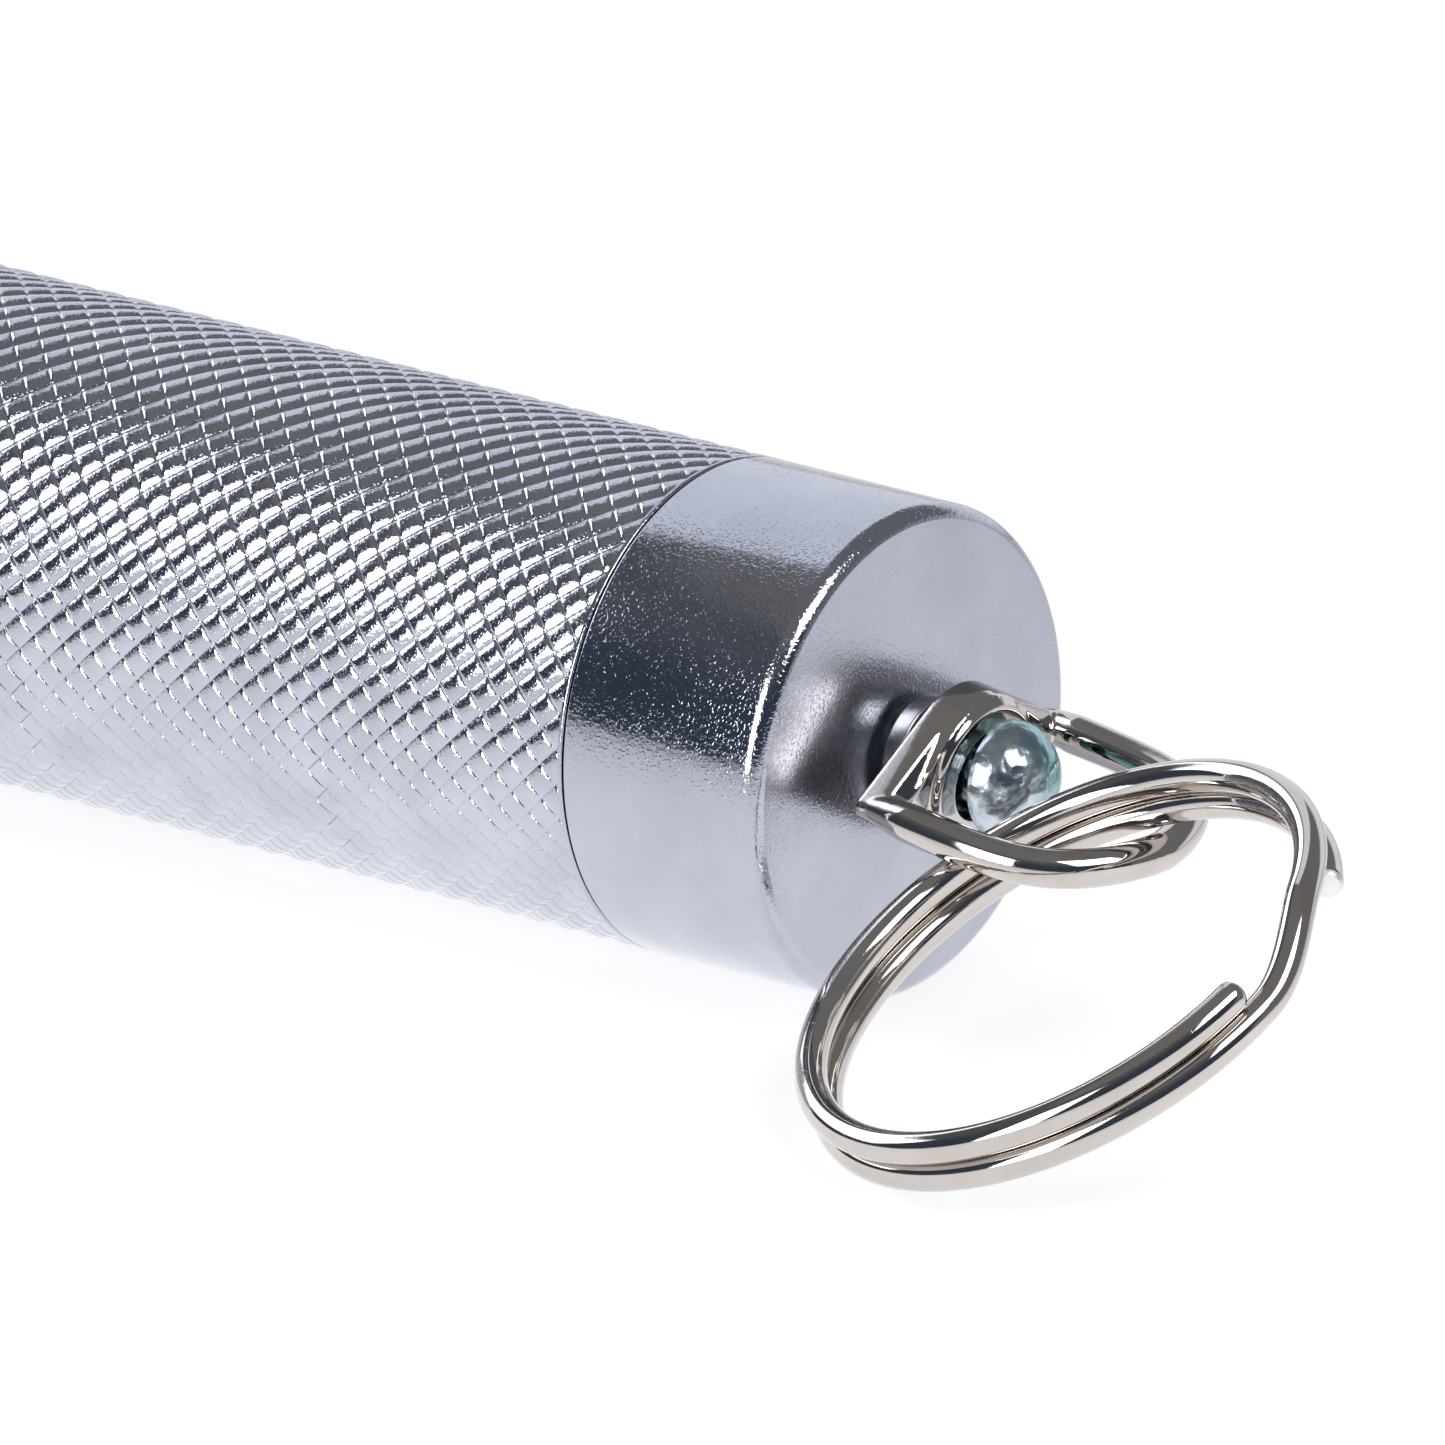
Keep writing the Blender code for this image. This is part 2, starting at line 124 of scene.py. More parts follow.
def loop_frame():
    """The loop's own frame: X out of the tail, Y across its arms, its eye at the origin."""
    eye = Vector(joint("loop_rock")["pos_m"])
    nose = Vector(joint("ring_swing")["pos_m"])
    out = (nose - eye).normalized()
    across = -Vector(joint("loop_rock")["axis"]).normalized()
    up = out.cross(across).normalized()
    across = up.cross(out)
    turn = Matrix((out, across, up)).transposed().to_4x4()
    return Matrix.Translation(eye) @ turn, (nose - eye).length / MM


def ring_frame():
    """The split ring's frame, with Z across its layers and Y level."""
    mount = next(m for m in frame["record"]["mounts"] if m["name"] == "key_ring")
    normal = Vector(mount["axis"]).normalized()
    level = Vector((0, 0, 1)).cross(normal).normalized()
    steep = level.cross(normal)
    turn = Matrix((steep, level, normal)).transposed().to_4x4()
    return Matrix.Translation(Vector(mount["pos_m"])) @ turn


# ---------------------------------------------------------------- materials


class Nodes:
    """Makes and links the nodes of one tree."""

    def __init__(self, tree):
        self.tree = tree

    def node(self, kind, inputs=None, **settings):
        made = self.tree.nodes.new("ShaderNode" + kind)
        for key, value in settings.items():
            setattr(made, key, value)
        for key, value in (inputs or {}).items():
            if isinstance(value, bpy.types.NodeSocket):
                self.tree.links.new(value, made.inputs[key])
            else:
                made.inputs[key].default_value = value
        return made

    def maths(self, operation, *values):
        return self.node("Math", dict(enumerate(values)), operation=operation).outputs[0]

    def mix(self, share, first, second):
        """A mix of two colours, each a socket or three numbers."""
        made = {0: share}
        for key, value in ((6, first), (7, second)):
            made[key] = value if isinstance(value, bpy.types.NodeSocket) else (*value, 1)
        return self.node("Mix", made, data_type="RGBA").outputs[2]


class Shader(Nodes):
    """A Principled material with short names for the nodes that its pattern needs."""

    def __init__(self, name, colour, roughness, metallic=0.0, **values):
        self.material = bpy.data.materials.new(name)
        self.material.use_nodes = True
        super().__init__(self.material.node_tree)
        self.main = self.tree.nodes["Principled BSDF"]
        self.main.inputs["Base Color"].default_value = (*colour, 1)
        self.main.inputs["Roughness"].default_value = roughness
        self.main.inputs["Metallic"].default_value = metallic
        for key, value in values.items():
            self.main.inputs[key.replace("_", " ")].default_value = value
        self.material.diffuse_color = (*colour, 1)
        self.place = self.node("TexCoord").outputs["Object"]

    def stretched(self, scale, turn=(0, 0, 0)):
        return self.node("Mapping", {"Vector": self.place, "Scale": scale, "Rotation": turn}).outputs[0]

    def noise(self, grain, detail=2.0, roughness=0.5, place=None):
        """Noise whose features are about `grain` millimetres wide."""
        where = place or self.place
        inputs = {"Vector": where, "Scale": 1 / (grain * MM), "Detail": detail, "Roughness": roughness}
        return self.node("TexNoise", inputs).outputs["Fac"]

    def cells(self, grain, feature="DISTANCE_TO_EDGE", place=None):
        inputs = {"Vector": place or self.place, "Scale": 1 / (grain * MM)}
        return self.node("TexVoronoi", inputs, feature=feature).outputs["Distance"]

    def ramp(self, value, *stops):
        """A colour ramp through (position, colour or grey level) stops."""
        made = self.node("ValToRGB", {"Fac": value})
        band = made.color_ramp.elements
        for i, (position, level) in enumerate(stops):
            element = band[i] if i < 2 else band.new(position)
            element.position = position
            element.color = (*level, 1) if isinstance(level, tuple) else (level, level, level, 1)
        return made.outputs["Color"]

    def colour(self, socket):
        self.tree.links.new(socket, self.main.inputs["Base Color"])

    def roughness(self, value, low, high):
        scaled = self.node("MapRange", {"Value": value, "To Min": low, "To Max": high}).outputs[0]
        self.tree.links.new(scaled, self.main.inputs["Roughness"])

    def hairlines(self):
        """Fine scratches that run mostly along the torch."""
        rubbed = self.stretched((0.25, 1.0, 1.0), (0.3, 0.5, 0.9))
        return self.ramp(self.cells(0.9, place=rubbed), (0.0, 0.0), (0.012, 1.0))

    def bump(self, height, depth, under=None):
        """Bumps `depth` millimetres high."""
        inputs = {"Height": height, "Strength": 1.0, "Distance": depth * MM}
        if under:
            inputs["Normal"] = under
        made = self.node("Bump", inputs).outputs[0]
        self.tree.links.new(made, self.main.inputs["Normal"])
        return made


def chrome():
    """Plating over a cast cap: orange peel, tiny pits, and a duller end face."""
    s = Shader("chrome", (0.48, 0.50, 0.575), 0.09, 1.0)
    s.colour(s.ramp(s.noise(2.4, 3.0), (0.35, (0.485, 0.505, 0.58)), (0.65, (0.44, 0.46, 0.53))))
    x = s.node("SeparateXYZ", {"Vector": s.place}).outputs["X"]
    dull = {"Value": x, "From Min": TAIL.x - 0.06 * MM, "From Max": TAIL.x - 0.03 * MM}
    face = s.node("MapRange", {**dull, "To Min": 0.0, "To Max": 0.16}).outputs[0]
    worn = {"Value": s.noise(1.3, 4.0, 0.65), "To Min": 0.04, "To Max": 0.14}
    smudge = s.node("MapRange", worn).outputs[0]
    s.tree.links.new(s.maths("ADD", smudge, face), s.main.inputs["Roughness"])
    peel = s.bump(s.noise(0.13, 2.0), 0.0036)
    specks = s.ramp(s.noise(0.1, 1.0), (0.52, 0.0), (0.72, 1.0))
    peel = s.bump(specks, 0.0045, peel)
    ripple = s.bump(s.noise(0.3, 2.0), 0.004, peel)
    s.bump(s.hairlines(), 0.0005, ripple)
    return s.material


def chrome_knurl():
    """The same plating over rolled diamonds, frosted by the tool's marks."""
    s = Shader("chrome_knurled", (0.52, 0.54, 0.61), 0.1, 1.0)
    s.colour(s.ramp(s.noise(2.0, 3.0), (0.35, (0.54, 0.56, 0.63)), (0.65, (0.47, 0.49, 0.56))))
    s.roughness(s.noise(0.6, 4.0, 0.65), 0.05, 0.2)
    peel = s.bump(s.noise(0.16, 2.0), 0.0035)
    specks = s.ramp(s.noise(0.08, 1.0), (0.52, 0.0), (0.72, 1.0))
    s.bump(specks, 0.0035, peel)
    return s.material


def nickel():
    """Bright plating with faint orange peel, handling smudges and hairline scratches."""
    s = Shader("nickel", (0.60, 0.565, 0.54), 0.06, 1.0)
    s.colour(s.ramp(s.noise(2.4, 3.0), (0.35, (0.60, 0.565, 0.54)), (0.65, (0.55, 0.51, 0.48))))
    s.roughness(s.noise(1.3, 4.0, 0.65), 0.03, 0.09)
    peel = s.bump(s.noise(0.5, 1.5), 0.0018)
    s.bump(s.hairlines(), 0.0004, peel)
    return s.material


def zinc():
    """Blue-passivated zinc: drifting blue and grey, and painted shade that turns the +Y side a darker blue-green.
    """
    s = Shader("blue_zinc", (0.45, 0.55, 0.62), 0.12, 1.0)
    drift = s.noise(0.7, 2.0)
    pale = s.ramp(drift, (0.35, (0.60, 0.65, 0.70)), (0.6, (0.44, 0.53, 0.60)))
    painted_shade_teal = s.ramp(drift, (0.35, (0.33, 0.52, 0.56)), (0.65, (0.16, 0.36, 0.38)))
    # Painted shade: the head turns a darker blue-green towards its +Y side, set by position alone.
    y = s.node("SeparateXYZ", {"Vector": s.place}).outputs["Y"]
    side = {"Value": y, "From Min": TAIL.y - 0.7 * MM, "From Max": TAIL.y + 0.5 * MM}
    s.colour(s.mix(s.node("MapRange", side).outputs[0], pale, painted_shade_teal))
    s.roughness(s.noise(0.4, 3.0), 0.1, 0.32)
    dents = s.bump(s.noise(0.5, 1.0), 0.06)
    s.bump(s.noise(0.16, 2.0), 0.008, dents)
    return s.material


def steel(name, colour=(0.55, 0.55, 0.56), roughness=0.22):
    s = Shader(name, colour, roughness, 1.0)
    s.colour(s.ramp(s.noise(1.5, 3.0), (0.3, colour), (0.7, tuple(c * 0.82 for c in colour))))
    s.roughness(s.noise(0.5, 4.0), roughness * 0.6, roughness * 1.5)
    s.bump(s.noise(0.08, 2.0, place=s.stretched((0.1, 1, 1))), 0.0008)
    return s.material


def brass():
    s = Shader("turned_brass", (0.76, 0.56, 0.28), 0.24, 1.0)
    s.colour(s.ramp(s.noise(1.6, 3.0), (0.3, (0.78, 0.58, 0.30)), (0.7, (0.60, 0.42, 0.20))))
    s.roughness(s.noise(0.6, 3.0), 0.16, 0.36)
    s.bump(s.noise(0.06, 2.0, place=s.stretched((1, 0.02, 0.02))), 0.0015)
    return s.material


def rubber():
    s = Shader("seal_rubber", (0.018, 0.018, 0.019), 0.5)
    s.colour(s.ramp(s.noise(0.5, 3.0), (0.3, 0.014), (0.7, 0.028)))
    s.roughness(s.noise(0.15, 3.0), 0.38, 0.62)
    s.bump(s.noise(0.05, 2.0), 0.001)
    return s.material


def plastic(name, colour, roughness, grain=0.3):
    s = Shader(name, colour, roughness)
    s.colour(s.ramp(s.noise(3.0, 3.0), (0.3, colour), (0.7, tuple(c * 0.86 for c in colour))))
    s.roughness(s.noise(grain, 3.0), roughness * 0.8, min(1.0, roughness * 1.2))
    s.bump(s.noise(grain, 2.0), 0.002)
    return s.material


def jacket_film():
    """Shrink film, plain dark with a metallic fleck and faint wrinkles."""
    s = Shader("cell_jacket", (0.03, 0.035, 0.045), 0.28, 0.3)
    s.colour(s.ramp(s.noise(0.2, 2.0), (0.4, (0.02, 0.024, 0.032)), (0.75, (0.06, 0.07, 0.085))))
    s.roughness(s.noise(1.5, 3.0), 0.2, 0.4)
    s.bump(s.noise(1.2, 2.0, place=s.stretched((3, 1, 1))), 0.006)
    return s.material


def laminate(name, mask):
    """Solder mask over copper: tracks show as a faint relief."""
    s = Shader(name, mask, 0.35)
    tracks = s.ramp(s.cells(0.8, "F1"), (0.35, 0.0), (0.42, 1.0))
    s.colour(s.mix(tracks, tuple(c * 1.5 for c in mask), mask))
    s.roughness(s.noise(0.4, 2.0), 0.25, 0.5)
    s.bump(tracks, 0.01)
    return s.material


def mirror():
    s = Shader("reflector_coating", (0.88, 0.88, 0.88), 0.06, 1.0)
    s.colour(s.ramp(s.noise(2.0, 2.0), (0.3, 0.9), (0.7, 0.84)))
    s.roughness(s.noise(0.3, 2.0), 0.03, 0.1)
    s.bump(s.cells(0.35, "SMOOTH_F1"), 0.012)
    return s.material


def window_glass():
    s = Shader("window_glass", (1.0, 1.0, 1.0), 0.015, 0.0, Transmission_Weight=1.0, IOR=1.5)
    s.colour(s.ramp(s.noise(4.0, 2.0), (0.3, (0.97, 0.99, 1.0)), (0.7, (0.95, 0.98, 0.99))))
    s.roughness(s.noise(0.8, 3.0), 0.0, 0.03)
    return s.material


def phosphor():
    s = Shader("led_phosphor", (0.9, 0.72, 0.12), 0.35, Coat_Weight=0.8, Coat_Roughness=0.05)
    s.colour(s.ramp(s.noise(0.12, 2.0), (0.35, (0.92, 0.75, 0.14)), (0.7, (0.80, 0.60, 0.08))))
    s.roughness(s.noise(0.1, 2.0), 0.3, 0.5)
    s.bump(s.noise(0.05, 2.0), 0.002)
    return s.material


def solder():
    s = Shader("solder", (0.62, 0.62, 0.60), 0.2, 1.0)
    s.colour(s.ramp(s.noise(0.3, 2.0), (0.3, (0.66, 0.66, 0.65)), (0.7, (0.5, 0.5, 0.49))))
    s.roughness(s.noise(0.2, 2.0), 0.12, 0.34)
    s.bump(s.noise(0.25, 2.0), 0.01)
    return s.material


# ---------------------------------------------------------------- meshes


def add_piece(name, verts, faces, material, body, place=AXIS_FRAME, crease=38.0):
    """Makes a smooth-shaded piece of points in millimetres in a frame, and puts it on its body."""
    mesh = bpy.data.meshes.new(name)
    points = np.asarray(verts, float).reshape(-1, 3) * MM
    turn = np.array(place.to_3x3())
    points = points @ turn.T + np.array(place.translation)
    mesh.from_pydata(points.tolist(), [], faces)
    mesh.validate()
    mesh.materials.append(material)
    mesh.shade_smooth()
    mesh.set_sharp_from_angle(angle=math.radians(crease))
    made = bpy.data.objects.new(name, mesh)
    bpy.context.scene.collection.objects.link(made)
    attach(made, body)
    return made


def filleted(corners, steps=5):
    """An outline through (station, radius) corners; a third number rounds that corner to that radius."""
    outline = []
    count = len(corners)
    for i, corner in enumerate(corners):
        here = np.array(corner[:2], float)
        if len(corner) < 3:
            outline.append(tuple(here))
            continue
        before = np.array(corners[i - 1][:2]) - here
        after = np.array(corners[(i + 1) % count][:2]) - here
        before /= np.linalg.norm(before)
        after /= np.linalg.norm(after)
        half = math.acos(float(np.clip(before @ after, -1, 1))) / 2
        centre = here + (before + after) / np.linalg.norm(before + after) * corner[2] / math.sin(half)
        start = here + before * corner[2] / math.tan(half) - centre
        end = here + after * corner[2] / math.tan(half) - centre
        swing = math.atan2(start[0] * end[1] - start[1] * end[0], start @ end)
        for k in range(steps + 1):
            c, s = math.cos(swing * k / steps), math.sin(swing * k / steps)
            outline.append(tuple(centre + (c * start[0] - s * start[1], s * start[0] + c * start[1])))
    return outline


def revolve(outline, sides=ROUND):
    """Points and faces of an outline turned about X, closed on itself or on the axis."""
    closed = min(r for _, r in outline) > 1e-9
    verts, rings = [], []
    for x, r in outline:
        if r < 1e-9:
            rings.append([len(verts)] * sides)
            verts.append((x, 0.0, 0.0))
            continue
        rings.append(list(range(len(verts), len(verts) + sides)))
        for k in range(sides):
            turn = math.tau * k / sides
            verts.append((x, r * math.sin(turn), r * math.cos(turn)))
    faces = []
    for i in range(len(rings) if closed else len(rings) - 1):
        one, two = rings[i], rings[(i + 1) % len(rings)]
        for k in range(sides):
            m = (k + 1) % sides
            faces.append(list(dict.fromkeys((one[k], one[m], two[m], two[k]))))
    return verts, outward(outline, faces)


def outward(outline, faces):
    """Turns the faces over if the outline runs the other way round."""
    area = 0.0
    for (x0, r0), (x1, r1) in zip(outline, outline[1:] + outline[:1]):
        area += x0 * r1 - x1 * r0
    return faces if area > 0 else [face[::-1] for face in faces]


def turned(name, corners, material, body, replaces=(), sides=ROUND, place=AXIS_FRAME):
    verts, faces = revolve(filleted(corners), sides)
    made = add_piece(name, verts, faces, material, body, place)
    if replaces:
        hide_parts(*replaces)
    return made


def turned_disc(name, node, radius, rounding, material, body, sides=ROUND):
    """A solid round piece in the place of a CAD node; rounding is of its rear and front edges."""
    front, rear = node_span(node)
    corners = [(rear, 0.0), (rear, radius, rounding[0]), (front, radius, rounding[1]), (front, 0.0)]
    turned(name, corners, material, body, [node], sides)


def swept(path, ups, radii, sides, closed):
    """Points and faces of a bar of round section along a path; ups are its section's upright directions."""
    path = np.asarray(path, float)
    count = len(path)
    if closed:
        along = np.roll(path, -1, 0) - np.roll(path, 1, 0)
    else:
        along = np.gradient(path, axis=0)
    along /= np.linalg.norm(along, axis=1)[:, None]
    side = np.cross(along, ups)
    side /= np.linalg.norm(side, axis=1)[:, None]
    up = np.cross(side, along)
    verts = []
    for k in range(sides):
        turn = math.tau * k / sides
        verts.append(path + (side * math.cos(turn) + up * math.sin(turn)) * np.asarray(radii)[:, None])
    verts = np.stack(verts, 1).reshape(-1, 3)
    faces = []
    for i in range(count if closed else count - 1):
        j = (i + 1) % count
        for k in range(sides):
            m = (k + 1) % sides
            faces.append((i * sides + k, j * sides + k, j * sides + m, i * sides + m))
    if not closed:
        faces.append(tuple(range(sides)))
        faces.append(tuple(range((count - 1) * sides, count * sides))[::-1])
    return verts, faces


# ---------------------------------------------------------------- barrel


def knurl_radius(a, b):
    """Radius at lattice place (a, b), in pitches, where every whole number is a groove's centre line."""
    shoulder = 0.1  # softness of a land's edge
    valley = 0.02  # softness of a groove's centre line, in pitches
    crossing = 6  # how sharply the deeper set takes over where the two cross
    cuts, roots = [], 0.0
    for t, depth, half_width, root in zip((a, b), KNURL_DEPTHS, KNURL_HALF_WIDTHS, KNURL_ROOTS):
        away = np.hypot(t - np.round(t), valley)
        cuts.append(depth * shoulder * np.log1p(np.exp((1 - away / half_width) / shoulder)))
        roots = roots + root / (1 + (away / KNURL_ROOT_HALF_WIDTH) ** 4)
    falls = [rise * (2 * (t - np.floor(t)) - 1) ** 2 for t, rise in zip((a, b), KNURL_PILLOWS)]
    cut = (cuts[0] ** crossing + (cuts[1] + falls[1]) ** crossing) ** (1 / crossing)
    return BODY_R - cut - falls[0] - roots


def knurl_sleeve(first_cell, last_cell, front):
    """One closed length of knurl, whole diamonds long, so that its zigzag ends lie in the grooves."""
    pitch = math.tau * BODY_R / KNURL_STARTS
    m = len(KNURL_SAMPLES)
    around = KNURL_STARTS * m
    low_k, high_k = (first_cell - 1) * m, (last_cell + 1) * m
    samples = np.array(KNURL_SAMPLES)

    def pitches(index):
        return np.floor_divide(index, m) + samples[np.mod(index, m)]

    i, k = np.meshgrid(np.arange(around), np.arange(low_k, high_k + 1), indexing="ij")
    a, b = pitches(i), pitches(i + k)
    x = front + (b - a) * pitch / 2
    angle = (a + b) * pitch / 2 / BODY_R
    radius = knurl_radius(a, b)
    outer = np.stack([x, -radius * np.cos(angle), radius * np.sin(angle)], -1)
    width = high_k - low_k + 1

    def number(i, k):
        return np.mod(i, around) * width + (k - low_k)

    faces = []
    cell_a, cell = np.meshgrid(np.arange(KNURL_STARTS), np.arange(first_cell, last_cell + 1), indexing="ij")
    for p in range(m):
        for q in range(m):
            row = cell_a * m + p
            column = cell * m + q - p
            near = [number(row, column), number(row, column + 1)]
            quad = near + [number(row + 1, column), number(row + 1, column - 1)]
            faces.append(np.stack(quad, -1).reshape(-1, 4))
    faces = np.concatenate(faces)

    def zigzag(cell_line, start):
        """The loop of lattice points along the groove lines beyond a column of diamonds."""
        loop = []
        for c in range(KNURL_STARTS):
            corner = (c + start) * m
            loop += [number(corner, cell_line * m + n) for n in range(m)]
            loop += [number(corner + n, (cell_line + 1) * m - n) for n in range(m)]
        return np.array(loop)

    # The front loop starts where both loops have the same angle.
    shift = (last_cell - first_cell + 1) // 2
    rear_loop = zigzag(last_cell, 0)
    front_loop = zigzag(first_cell - 1, shift)
    used, compact = np.unique(faces, return_inverse=True)
    faces = compact.reshape(-1, 4)
    flat = outer.reshape(-1, 3)
    position = {int(v): n for n, v in enumerate(used)}
    verts = [flat[used]]
    loops = []
    total = len(used)
    for loop in (front_loop, rear_loop):
        edge = flat[loop].copy()
        edge[:, 1:] *= (SLEEVE_BORE_R / np.linalg.norm(edge[:, 1:], axis=1))[:, None]
        verts.append(edge)
        loops.append((np.array([position[int(v)] for v in loop]), np.arange(total, total + len(loop))))
        total += len(loop)
    (front_rim, front_bore), (rear_rim, rear_bore) = loops
    walls = []
    for one, two in ((front_bore, front_rim), (rear_bore, front_bore), (rear_rim, rear_bore)):
        walls.append(np.stack([one, two, np.roll(two, -1), np.roll(one, -1)], -1))
    return np.concatenate(verts), np.concatenate([faces, *walls]).tolist()


def cut_square(verts, faces, station, side):
    """Cuts off what lies beyond a station, to the rear if side is 1 and to the front if it is -1."""
    form = bmesh.new()
    points = [form.verts.new(point) for point in verts]
    for face in faces:
        form.faces.new([points[n] for n in face])
    everything = form.verts[:] + form.edges[:] + form.faces[:]
    plane = {"plane_co": (station, 0, 0), "plane_no": (side, 0, 0), "clear_outer": True}
    bmesh.ops.bisect_plane(form, geom=everything, dist=1e-4, **plane)
    rims = [edge for edge in form.edges if edge.is_boundary]
    bmesh.ops.triangle_fill(form, edges=rims, use_beauty=True)
    bmesh.ops.recalc_face_normals(form, faces=form.faces[:])
    form.verts.index_update()
    verts = [tuple(vert.co) for vert in form.verts]
    faces = [[vert.index for vert in face.verts] for face in form.faces]
    form.free()
    return verts, faces


def make_knurl(material):
    """The knurled skin, in equal lengths of whole diamonds between the two plain bands."""
    pitch = math.tau * BODY_R / KNURL_STARTS
    inner_front, inner_rear = KNURL_FRONT + KNURL_BAND, KNURL_REAR - KNURL_BAND
    cells = math.ceil((inner_rear - inner_front) / (pitch / 2)) + 2
    each = 2 * math.ceil(cells / KNURL_PIECES / 2)
    spare = each * KNURL_PIECES * pitch / 2 - (inner_rear - inner_front)
    front = inner_front - spare / 2
    for n in range(KNURL_PIECES):
        verts, faces = knurl_sleeve(n * each + 1, (n + 1) * each, front - pitch / 2)
        if n == 0:
            verts, faces = cut_square(verts, faces, inner_front, -1)
        if n == KNURL_PIECES - 1:
            verts, faces = cut_square(verts, faces, inner_rear, 1)
        add_piece(f"barrel_knurl_{n + 1}", verts, faces, material, "barrel", crease=60.0)


def make_thread(name, rear, front, radii, pitch, material):
    """A screw thread on one of the barrel's spigots, with run-outs at both ends."""
    root_r, crest_r = radii
    sides = 96
    rows_per_turn = 12
    rows = round((rear - front) / pitch * rows_per_turn)
    run_out = 0.5 * pitch
    verts = []
    for n in range(rows + 1):
        x = front + (rear - front) * n / rows
        fade = min(1.0, (x - front) / run_out, (rear - x) / run_out)
        for k in range(sides):
            phase = (x / pitch - k / sides) % 1.0
            ridge = min(1.0, max(0.0, 1.6 - 4.2 * abs(phase - 0.5)))  # 1 on the flat crest
            r = root_r + (crest_r - root_r) * ridge * fade
            verts.append((x, r * math.sin(math.tau * k / sides), r * math.cos(math.tau * k / sides)))
    inner = len(verts)
    bore = root_r - 0.3
    for x in (front, rear):
        for k in range(sides):
            turn = math.tau * k / sides
            verts.append((x, bore * math.sin(turn), bore * math.cos(turn)))
    rings = [list(range(n * sides, (n + 1) * sides)) for n in range(rows + 1)]
    rings = [list(range(inner, inner + sides)), *rings, list(range(inner + sides, inner + 2 * sides))]
    faces = []
    for n in range(len(rings)):
        one, two = rings[n], rings[(n + 1) % len(rings)]
        for k in range(sides):
            m = (k + 1) % sides
            faces.append((one[k], two[k], two[m], one[m]))
    add_piece(name, verts, faces, material, "barrel", crease=60.0)


def make_barrel(chrome_plate, knurled, seal):
    """The tube with its two spigots, and the knurl, threads and seals on it."""
    spigot_r = 6.3
    bore_r = 5.4
    groove_r = 5.85
    groove_half = 0.5
    thread_depth = 0.28
    collar = 0.25  # between a seal's groove and the thread
    front, rear = node_span("barrel")
    tail_ring = sum(node_span("tail_oring")) / 2
    neck_ring = sum(node_span("neck_oring")) / 2
    thread_r = spigot_r - thread_depth
    tail_root = tail_ring + groove_half + collar
    neck_root = neck_ring - groove_half - collar

    def seal_groove(centre):
        tail_side, head_side = centre + groove_half, centre - groove_half
        walls = [(tail_side, spigot_r, 0.06), (tail_side, groove_r, 0.1)]
        return walls + [(head_side, groove_r, 0.1), (head_side, spigot_r, 0.06)]

    corners = [(rear, bore_r, 0.15), (rear, thread_r, 0.2)]
    corners += [(tail_root, thread_r), (tail_root, spigot_r, 0.08)]
    corners += seal_groove(tail_ring)
    band_rear, band_front = KNURL_REAR - KNURL_BAND, KNURL_FRONT + KNURL_BAND
    corners += [(KNURL_REAR, spigot_r, 0.08), (KNURL_REAR, BODY_R, 0.07), (band_rear, BODY_R)]
    corners += [(band_rear, SLEEVE_BORE_R), (band_front, SLEEVE_BORE_R), (band_front, BODY_R)]
    corners += [(KNURL_FRONT, BODY_R, 0.07), (KNURL_FRONT, spigot_r, 0.08)]
    corners += seal_groove(neck_ring)
    corners += [(neck_root, spigot_r, 0.08), (neck_root, thread_r)]
    corners += [(front, thread_r, 0.2), (front, bore_r, 0.15)]
    turned("barrel_tube", corners, chrome_plate, "barrel", ["barrel"], sides=256)
    make_knurl(knurled)
    radii = (thread_r - 0.02, spigot_r - 0.02)
    make_thread("barrel_tail_thread", rear - 0.2, tail_root, radii, TAIL_PITCH, chrome_plate)
    make_thread("barrel_neck_thread", neck_root, front + 0.2, radii, NECK_PITCH, chrome_plate)
    make_seal("tail_seal", "tail_oring", seal, "barrel")
    make_seal("neck_seal", "neck_oring", seal, "barrel")


def make_seal(name, node, material, body):
    """An O-ring in the place of its CAD solid."""
    front, rear = node_span(node)
    low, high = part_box(node)
    wire_r = 0.25
    outer = (high.z - low.z) / 2 / MM
    centre = ((front + rear) / 2, outer - wire_r)
    steps = 20
    outline = []
    for k in range(steps):
        turn = math.tau * k / steps
        outline.append((centre[0] + wire_r * math.cos(turn), centre[1] + wire_r * math.sin(turn)))
    turned(name, outline, material, body, [node])


# ---------------------------------------------------------------- tail cap and swivel


def make_cap(chrome_plate):
    """A thin-walled cap whose rim turns over to the end face in one soft arc."""
    skirt_r = 6.65
    wall = 1.8
    arc_r = 0.583
    arc = math.radians(73.7)
    steps = 9
    corners = [(CAP_FRONT, skirt_r, 0.06), (CAP_FRONT, BODY_R, 0.08)]
    start = -arc_r * math.sin(arc)
    for k in range(steps + 1):
        turn = arc * k / steps
        corners.append((start + arc_r * math.sin(turn), BODY_R - arc_r * (1 - math.cos(turn))))
    edge_r = BODY_R - arc_r * (1 - math.cos(arc))
    corners[-1] = (0.0, edge_r, 0.05)
    rings = 28
    dimple, dimple_width = 0.02, 1.1
    for k in range(1, rings + 1):
        r = edge_r - 0.15 - (edge_r - 0.15 - HUB_HOLE_R) * k / rings
        corners.append((-dimple * math.exp(-(((r - HUB_HOLE_R) / dimple_width) ** 2)), r))
    corners += [(-wall, HUB_HOLE_R), (-wall, skirt_r, 0.2)]
    turned("tail_cap_shell", corners, chrome_plate, "tail_cap", ["tail_cap"], sides=256)


